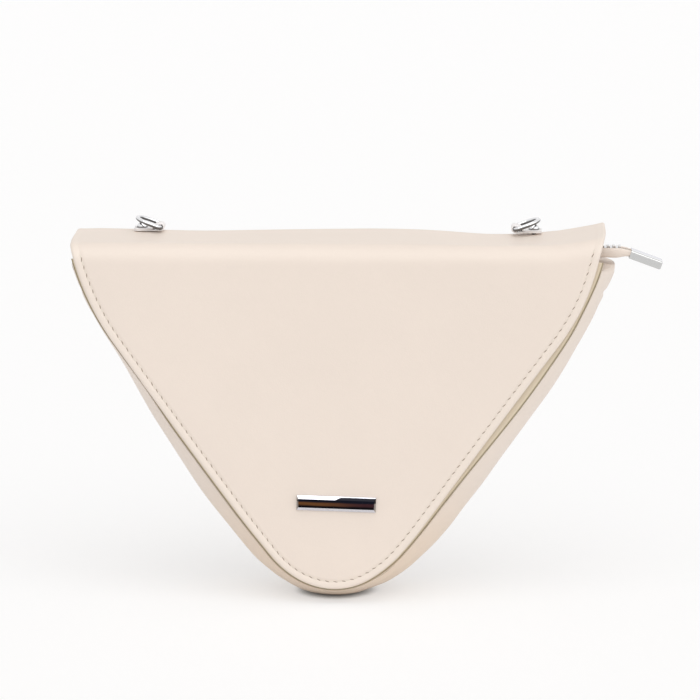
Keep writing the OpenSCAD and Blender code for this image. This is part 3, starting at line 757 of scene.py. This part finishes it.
class BAG_OT_flap_stitching(bpy.types.Operator):
    """Sew the flap: thread and needle holes along its sides and tip, and along the band at the back"""
    bl_idname = "bag.flap_stitching"
    bl_label = "Flap stitching"

    # Half the length, width and height of each kind of lozenge
    THREAD = (1.25 * MM, 0.32 * MM, 0.26 * MM)
    HOLE = (1.15 * MM, 0.24 * MM, 0.1 * MM)
    BAND_THREAD = (1.35 * MM, 0.3 * MM, 0.24 * MM)

    def execute(self, context):
        sheet = FlapSheet(Outline())
        pitch = sizes().stitch_pitch
        path = stitch_line(sheet)
        thread_sink, hole_sink, band_sink, slant = 0.02 * MM, -0.05 * MM, 0.12 * MM, 0.3
        thread = sewn_places(sheet, path, pitch, thread_sink)
        bead_row("flap_stitches", thread, self.THREAD, "thread", "flap")
        # The needle holes are dark lozenges of painted shade
        holes = [(centre, (along + along.cross(outward) * slant).normalized(), outward)
                 for centre, along, outward in sewn_places(sheet, path, pitch, hole_sink, pitch / 2)]
        bead_row("flap_needle_holes", holes, self.HOLE, "hole", "flap")
        across = sheet.outline.width(sheet.top - 12 * MM) - 4 * MM
        level = sheet.length - 3 * MM
        band = [Vector((-across, level, 0)), Vector((across, level, 0))]
        places = [(sheet.point(place.x, place.y, band_sink), direction, BACK)
                  for place, direction in walk(band, pitch)]
        bead_row("band_stitches", places, self.BAND_THREAD, "thread", "bag")
        return {"FINISHED"}


# The body


def seam_margin(x, z):
    """How far the front seam lies past the flap's edge: the panel has slid to the right under the flap."""
    right = (1.7 + 2.6 * bell(z, 106 * MM, 40 * MM) + rise(z, 145 * MM, 25 * MM)) * MM
    left = (1.8 - 1.0 * rise(z, 85 * MM, 25 * MM)) * MM
    side = rise(x, -20 * MM, 40 * MM)
    return left + (right - left) * side


# How far the gusset stands out past the flap's edge, in millimetres: height, on the left, on the right
GUSSET_REACH = (
    (7.5, 9.2, 9.2), (10, 9.6, 9.2), (13, 9.5, 10.4), (16, 9.8, 11.1), (20, 10.3, 11.6),
    (25, 11.3, 12.1), (30, 11.8, 12.7), (36, 12.1, 13.3), (44, 12.2, 14.0), (54, 12.3, 14.0),
    (66, 12.0, 14.1), (80, 11.0, 13.8), (95, 9.6, 13.7), (110, 7.3, 13.7), (122, 5.3, 12.6),
    (135, 4.0, 10.8), (148, 3.6, 10.1), (160, 3.3, 10.1), (172, 2.8, 10.1),
)


def smooth_reading(table, value, column):
    """A value between the rows of a table, on a smooth curve through them."""
    i = next((k for k in range(1, len(table) - 1) if value < table[k][0]), len(table) - 1)
    rows = [table[min(max(k, 0), len(table) - 1)] for k in (i - 2, i - 1, i, i + 1)]
    t = min(max((value - rows[1][0]) / (rows[2][0] - rows[1][0]), 0.0), 1.0)
    p = [row[column] for row in rows]
    return (p[1] + 0.5 * t * (p[2] - p[0] + t * (2 * p[0] - 5 * p[1] + 4 * p[2] - p[3]
            + t * (3 * (p[1] - p[2]) + p[3] - p[0]))))


def gusset_reach(x, z):
    """How far the gusset stands out past the flap's edge at a height."""
    left, right = (smooth_reading(GUSSET_REACH, z / MM, column) * MM for column in (1, 2))
    return left + (right - left) * rise(x, -6 * MM, 12 * MM)


class BAG_OT_gusset(bpy.types.Operator):
    """Make the gusset: one swollen strip round the tip, pressed flat at the foot, its hems tucked in"""
    bl_idname = "bag.gusset"
    bl_label = "Gusset"

    def execute(self, context):
        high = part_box("gusset")[1]
        places = Outline().both_halves(high.z, sizes().margin, 40, 70, 40)
        half, folds = 14, 7
        across = [sin(pi / 2 * (k / half)) for k in range(-half, half + 1)]

        def row(place, tuck=0.0):
            return [self.point(place, v, high.y, high.z, tuck, inner)
                    for inner, order in ((False, across), (True, across[::-1])) for v in order]

        tucks = [k / folds for k in range(1, folds + 1)]
        rows = ([row(places[0], tuck) for tuck in reversed(tucks)] + [row(place) for place in places]
                + [row(places[-1], tuck) for tuck in tucks])
        make_piece("gusset_leather", [p for line in rows for p in line], band_faces(len(rows), len(across)),
                   "gusset", "bag", ("gusset",))
        return {"FINISHED"}

    @staticmethod
    def point(place, v, seam, hem, tuck, inner):
        """A point of the strip: v runs from the front seam to the back seam, tuck into the folded hem."""
        s = sizes()
        x, z, nx, nz = place
        back = 1 if v > 0 else -1
        below = hem - z
        start = seam_margin(x, z) if v < 0 else s.margin
        swell = 1 - abs(v) ** 2.4
        hem_lip = 0.7 * MM * smooth_step(1 - below / (9 * MM))
        hem_dent = 0.8 * MM * bell(below, 10 * MM, 1.6 * MM)
        creases = 0.5 * MM * sin(v * 8 + z * 210) * bell(below, 16 * MM, 9 * MM)
        uneven = 0.5 * MM * noise.noise(Vector((x * 25, v * 1.7, z * 42)))
        groove = 0.3 * MM * bell(abs(v), 0.62, 0.07)
        grow = start + (gusset_reach(x, z) - start + hem_lip - hem_dent + creases + uneven) * swell - groove
        rim = 1 - abs(v)
        shoulder = 0.75 * MM * bell(rim, 0.028, 0.022)
        y = v * seam + shoulder * back
        if rim < 0.002:
            turned_in, drawn_in = 0.7 * MM, 0.2 * MM
            y -= turned_in * back
            grow -= drawn_in
        if inner:
            grow -= s.leather
            y *= 0.985
        px, pz = eased(x + nx * grow, z + nz * grow)
        floor = s.leather if inner else 0.0
        soft, flat = 1.2 * MM, 0.25 * MM
        if pz < floor + soft:
            pz = floor + soft * exp((pz - floor - soft) / soft)
        if pz < floor + flat:
            pz = floor
        if below < 0.01 * MM:
            pz = hem - floor * min(tuck * 3, 1)
        if tuck:
            hem_width = 15 * MM
            px -= hem_width * tuck * (1 if x > 0 else -1)
            y *= 1 - 0.05 * min(tuck * 4, 1)
            pz += 0.5 * MM * (sin(pi * tuck) * swell - 1 + swell)
        return Vector((px, y, pz))


class BAG_OT_panels(bpy.types.Operator):
    """Make the front and back panels, with turned edges that meet the gusset in a sewn valley"""
    bl_idname = "bag.panels"
    bl_label = "Panels"

    def execute(self, context):
        self.panel("front", -1, 0.9 * MM)
        self.panel("back", 1, 2.6 * MM)
        return {"FINISHED"}

    def panel(self, side, facing, crown):
        s = sizes()
        outline = Outline()
        low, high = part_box(side + "_panel")
        seam = min(abs(low.y), abs(high.y))
        top = high.z
        foot = s.flap_drop - s.margin
        line = outline.places(top, s.margin)
        halves = []
        for mirror in (1, -1):
            edge = []
            for x, z, nx, nz in line:
                margin = seam_margin(mirror * x, z) if facing < 0 else s.margin
                edge.append((x + nx * margin, z + nz * margin - foot))
            halves.append(inset_rows(edge, inset_spine(edge, outline.tip_z - foot)))
        middle = len(halves[0][0]) // 2
        rows = [right[:middle + 1] + left[middle + 1:] for right, left in zip(*halves)]

        def outer(x, u, d):
            flat = rise(top - foot - u, 8 * MM, 30 * MM)
            puff = crown * rise(d, 1 * MM, 38 * MM) * flat
            thick = s.leather * roundness(d, 1.3 * MM) + puff
            px, pz = eased(x, foot + u)
            return Vector((px, facing * (seam + thick), pz))

        def inner(x, u, d):
            px, pz = eased(x, foot + u)
            return Vector((px, facing * seam, pz))

        shell(side + "_panel_leather", rows, outer, inner, side + "_panel", "bag",
              (side + "_panel",))


class BAG_OT_lining(bpy.types.Operator):
    """Hang the lining cloth inside the panels and the gusset"""
    bl_idname = "bag.lining"
    bl_label = "Lining"

    def execute(self, context):
        s = sizes()
        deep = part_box("lining")[1].y
        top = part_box("gusset")[1].z - 1 * MM
        gap, cloth, lowest = 0.6 * MM, 0.5 * MM, 1.9 * MM
        grow = s.margin - s.leather - gap
        shares = [k / 8 for k in range(-8, 9)]
        rows = []
        for x, z, nx, nz in Outline().both_halves(top, grow, 16, 30, 10):
            ring = []
            for thick, order in ((0.0, shares), (cloth, shares[::-1])):
                for v in order:
                    fold = 0.6 * MM * (1 + noise.noise(Vector((x * 40, v * 3, z * 40)))) * (1 - v * v)
                    inward = grow - fold - thick
                    px, pz = eased(x + nx * inward, z + nz * inward)
                    ring.append(Vector((px, v * (deep - thick), max(pz, lowest))))
            rows.append(ring)
        make_piece("lining_cloth", [p for row in rows for p in row], band_faces(len(rows), len(shares)),
                   "lining", "bag", ("lining",))
        return {"FINISHED"}


def strip(name, line, profile, material, nodes):
    """A closed strip: a ring of (across, up) points carried along a line of (place, across, up)."""
    points = [place + across * a + up * b for place, across, up in line for a, b in profile]
    return make_piece(name, points, tube_faces(len(line), len(profile)), material, "bag", nodes)


def rounded_bar(width, height, radius, steps=4):
    """A rectangle's outline with rounded corners, centred, as (across, up) points."""
    found = []
    for k, (sx, sz) in enumerate(((1, 1), (-1, 1), (-1, -1), (1, -1))):
        for i in range(steps + 1):
            a = pi / 2 * (k + i / steps)
            found.append((sx * (width / 2 - radius) + radius * cos(a),
                          sz * (height / 2 - radius) + radius * sin(a)))
    return found


class BAG_OT_zip_leather(bpy.types.Operator):
    """Make the two leather strips that frame the zip"""
    bl_idname = "bag.zip_leather"
    bl_label = "Zip facings"

    def execute(self, context):
        for side in ("front", "back"):
            low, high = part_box("zip_facing_" + side)
            middle = (low + high) / 2
            size = high - low
            profile = rounded_bar(size.y, size.z, size.z * 0.42)
            count = 60
            line = [(Vector((low.x + size.x * i / count, middle.y, middle.z)), BACK,
                     UP * (0.5 if i in (0, count) else 1)) for i in range(count + 1)]
            strip("zip_facing_leather_" + side, line, profile, "leather", ("zip_facing_" + side,))
        return {"FINISHED"}


class ZipLine:
    """The zip's middle line: level in the bag, up the ramp, then down into the end cap."""

    def __init__(self):
        low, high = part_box("zip_stops")
        self.z = (low.z + high.z) / 2
        self.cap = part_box("zip_end_cap")[0].x + 1.4 * MM
        self.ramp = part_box("zip_facing_front")[1].x - 8 * MM
        self.climb = 3.9 * MM
        self.bend = 8 * MM
        self.droop = radians(20)

    def height(self, x):
        up = self.climb * rise(x, self.ramp, 14 * MM)
        past = x - self.cap + self.bend
        if past <= 0:
            return self.z + up
        down = past ** 2 / (2 * self.bend) if past < self.bend else past - self.bend / 2
        return self.z + up - tan(self.droop) * down


class BAG_OT_zip_tapes(bpy.types.Operator):
    """Weave the zip's two tapes: flat beside the teeth, folded under in the tail"""
    bl_idname = "bag.zip_tapes"
    bl_label = "Zip tapes"

    def execute(self, context):
        for side, sign in (("front", -1), ("back", 1)):
            self.tape(side, sign)
        return {"FINISHED"}

    def tape(self, side, sign):
        line = ZipLine()
        low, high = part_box("zip_tape_" + side)
        slot, wide, thick = 1.9 * MM, 14 * MM, 0.7 * MM
        ripple, ripples = 0.08 * MM, 300
        count = 80
        flat = []
        for i in range(count + 1):
            x = low.x + (line.ramp - low.x) * i / count
            wave = ripple * sin(x * ripples)
            flat.append((Vector((x, sign * (slot + wide) / 2, line.height(x) + wave)), BACK, UP))
        strip("zip_tape_cloth_" + side, flat, rounded_bar(wide - slot, thick, 0.3 * MM), "tape",
              ("zip_tape_" + side,))
        self.tail(side, sign, line, slot, thick, high.x)

    @staticmethod
    def tail(side, sign, line, slot, thick, end):
        """The folded tail: a hook-shaped section that narrows into the cap."""
        tall, pinched, half = 4.6 * MM, 3.0 * MM, 4.6 * MM
        start = line.ramp - 2 * MM
        count = 40
        points = []
        for i in range(count + 1):
            x = start + (end - start) * i / count
            share = rise(x - line.cap, -line.bend, line.bend)
            h = tall + (pinched - tall) * share
            slump = 0.35 * MM * (1 - share) * (1 + sin(x * 520 + sign)) / 2
            top = line.height(x) + thick / 2
            bulge = 0.25 * MM * (1 - share)
            outside = [(slot, top), (half - 0.8 * MM, top), (half - 0.2 * MM, top - 0.25 * MM),
                       (half, top - 0.9 * MM), (half + bulge, top - h * 0.5), (half, top - h + 0.9 * MM),
                       (half - 0.25 * MM, top - h + 0.2 * MM - slump * 0.4),
                       (half - 1 * MM, top - h - slump * 0.6), (0.1 * MM, top - h + 0.05 * MM)]
            inside = [(0.1 * MM, top - h + thick), (half - 1.2 * MM, top - h + thick - slump * 0.6),
                      (half - thick, top - h + 1.4 * MM), (half - thick + bulge, top - h * 0.5),
                      (half - thick, top - 1.2 * MM), (half - 1.2 * MM, top - thick), (slot, top - thick)]
            points += [Vector((x, sign * y, z)) for y, z in outside + inside]
        make_piece("zip_tail_cloth_" + side, points, tube_faces(count + 1, len(outside) + len(inside)),
                   "leather", "bag", ("zip_tape_" + side,))


class BAG_OT_ring_tabs(bpy.types.Operator):
    """Loop a leather tab round the straight bar of each ring"""
    bl_idname = "bag.ring_tabs"
    bl_label = "Ring tabs"

    def execute(self, context):
        for side, sign in (("left", -1), ("right", 1)):
            self.tab(side, sign)
        return {"FINISHED"}

    @staticmethod
    def tab(side, sign):
        low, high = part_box("ring_tab_" + side)
        bar = Vector(joint_place(f"ring_{side}_swing"))
        thick = 0.7 * MM
        radius = bar.z - low.z - thick / 2
        far = max(abs(low.x), abs(high.x)) - abs(bar.x)
        base = low.z - bar.z + thick / 2
        lap = base + thick
        path = [(far * t, base) for t in (1, 0.8, 0.6, 0.4, 0.2)]
        path += [(-radius * sin(a), -radius * cos(a)) for a in (pi * i / 16 for i in range(15))]
        path += [(radius * 1.1, radius * 0.72), (radius * 1.7, radius * 0.2), (radius * 2.4, lap + 0.15 * MM)]
        path += [(far * t, lap) for t in (0.45, 0.6, 0.8, 1)]
        spots = [bar + Vector((sign * a, 0, b)) for a, b in path]
        line = []
        for i, spot in enumerate(spots):
            before, after = spots[max(i - 1, 0)], spots[min(i + 1, len(spots) - 1)]
            forward = (after - before).normalized()
            line.append((spot, BACK, BACK.cross(forward)))
        profile = rounded_bar(high.y - low.y, thick, 0.3 * MM)
        strip("ring_tab_leather_" + side, line, profile, "tab", ("ring_tab_" + side,))


class BAG_OT_metalwork(bpy.types.Operator):
    """Plate the zip, rings, rivets, snap and bar, and finish the boards inside the body"""
    bl_idname = "bag.metalwork"
    bl_label = "Metalwork and boards"

    FINISH_OF = {
        "plaque": "bar", "front_board": "board", "back_board": "board", "zip_end_cap": "cap",
        "d_ring_left": "chrome", "d_ring_right": "chrome",
        "ring_rivet_left": "chrome", "ring_rivet_right": "chrome",
        "zip_teeth_front": "teeth", "zip_teeth_back": "teeth", "zip_stops": "teeth",
    }

    def execute(self, context):
        for name, node in frame["nodes"].items():
            if node.hide_render:
                continue
            node.data.materials.clear()
            node.data.materials.append(finish(self.FINISH_OF.get(name, "metal")))
        return {"FINISHED"}


# The stage


def aim(thing, place, target):
    """Put a lamp or camera in place, looking at a target."""
    direction = Vector(target) - Vector(place)
    thing.matrix_world = (Matrix.Translation(Vector(place))
                          @ direction.to_track_quat("-Z", "Y").to_matrix().to_4x4())
    bpy.context.scene.collection.objects.link(thing)


def seen_mask(f):
    """1 for rays that the eye follows: straight, off metal or through glass."""
    path = {k: f.node("ShaderNodeLightPath", output=k)
            for k in ("Is Camera Ray", "Is Glossy Ray", "Is Transmission Ray")}
    return f.node("ShaderNodeMath", {"operation": "ADD", "use_clamp": True},
                  {0: path["Is Camera Ray"] + path["Is Glossy Ray"], 1: path["Is Transmission Ray"]})


class BAG_OT_stage(bpy.types.Operator):
    """Lay the pale floor and set the camera and the soft lamps"""
    bl_idname = "bag.stage"
    bl_label = "Stage"

    def execute(self, context):
        setup = context.scene.bag_stage
        self.camera(context, setup)
        self.floor(setup)
        self.world(context, setup)
        self.lamps(setup)
        context.scene.view_settings.view_transform = "Standard"
        return {"FINISHED"}

    @staticmethod
    def camera(context, setup):
        lens = bpy.data.cameras.new("camera")
        camera = bpy.data.objects.new("camera", lens)
        lens.sensor_width = 36
        lens.lens = lens.sensor_width * setup.distance / setup.view_width
        lens.clip_start = 0.05
        lens.clip_end = 60
        a, e = setup.azimuth, setup.elevation
        away = Vector((sin(a) * cos(e), -cos(a) * cos(e), sin(e)))
        aim(camera, Vector(setup.target) + away * setup.distance, setup.target)
        context.scene.camera = camera

    @staticmethod
    def floor(setup):
        f = Finish("floor")
        f.shader.inputs["Emission Strength"].default_value = 1.0
        seen = seen_mask(f)
        tint = f.blend(seen, rgba(colours().backdrop), rgba(colours().backdrop, setup.floor_share))
        open_air = f.node("ShaderNodeAmbientOcclusion", {"samples": 12}, {"Distance": setup.contact},
                          output="AO")
        clear = f.ramp(open_air, 0.0, 0.4)
        glow = f.blend(seen, rgba((0, 0, 0)), f.shade(rgba((1, 1, 1), setup.glow), clear))
        f.end(Base_Color=tint, Roughness=0.75, Emission_Color=glow, Specular_IOR_Level=0.1)
        across, along = (-12, -2, 0, 2, 12), (-6, -2, 0, 2, 6, 14)
        mesh = bpy.data.meshes.new("floor")
        mesh.from_pydata([(x, y, 0) for y in along for x in across], [], faces_of(len(along), len(across)))
        mesh.materials.append(f.material)
        floor = bpy.data.objects.new("floor", mesh)
        bpy.context.scene.collection.objects.link(floor)

    @staticmethod
    def world(context, setup):
        world = bpy.data.worlds.new("studio")
        world.use_nodes = True
        context.scene.world = world
        f = Finish(tree=world.node_tree)
        f.plug(f.tree.nodes["Background"].inputs["Color"],
               f.blend(seen_mask(f), rgba((1, 0.985, 0.97), setup.fill), rgba((0.99, 0.99, 0.99))))

    @staticmethod
    def lamps(setup):
        middle = (0, 0, 90 * MM)
        for name, power, spread, place in (("key", setup.key, 60, (0.1, -1.05, 1.8)),
                                           ("side", setup.side, 70, (2.0, -1.2, 0.45))):
            lamp = bpy.data.lights.new(name, "SUN")
            lamp.energy = power
            lamp.angle = radians(spread)
            aim(bpy.data.objects.new(name, lamp), place, middle)


class BAG_PT_sidebar(bpy.types.Panel):
    """The bag's pieces and settings"""
    bl_label = "Triangular Flap Bag"
    bl_idname = "BAG_PT_sidebar"
    bl_space_type = "VIEW_3D"
    bl_region_type = "UI"
    bl_category = "Bag"

    def draw(self, context):
        for operator in OPERATORS:
            self.layout.operator(operator.bl_idname)
        for group in ("bag_sizes", "bag_colours", "bag_stage"):
            settings = getattr(context.scene, group)
            for key in settings.bl_rna.properties.keys():
                if key not in ("name", "rna_type"):
                    self.layout.prop(settings, key)


OPERATORS = (BAG_OT_stage, BAG_OT_flap, BAG_OT_flap_stitching, BAG_OT_gusset, BAG_OT_panels, BAG_OT_lining,
             BAG_OT_zip_leather, BAG_OT_zip_tapes, BAG_OT_ring_tabs, BAG_OT_metalwork)
CLASSES = (BagSizes, BagColours, BagStage, *OPERATORS, BAG_PT_sidebar)


def register():
    for kind in CLASSES:
        bpy.utils.register_class(kind)
    bpy.types.Scene.bag_sizes = bpy.props.PointerProperty(type=BagSizes)
    bpy.types.Scene.bag_colours = bpy.props.PointerProperty(type=BagColours)
    bpy.types.Scene.bag_stage = bpy.props.PointerProperty(type=BagStage)


def unregister():
    del bpy.types.Scene.bag_stage
    del bpy.types.Scene.bag_colours
    del bpy.types.Scene.bag_sizes
    for kind in reversed(CLASSES):
        bpy.utils.unregister_class(kind)


def main():
    register()
    for operator in OPERATORS:
        group, name = operator.bl_idname.split(".")
        getattr(getattr(bpy.ops, group), name)()


if __name__ == "__main__":
    main()
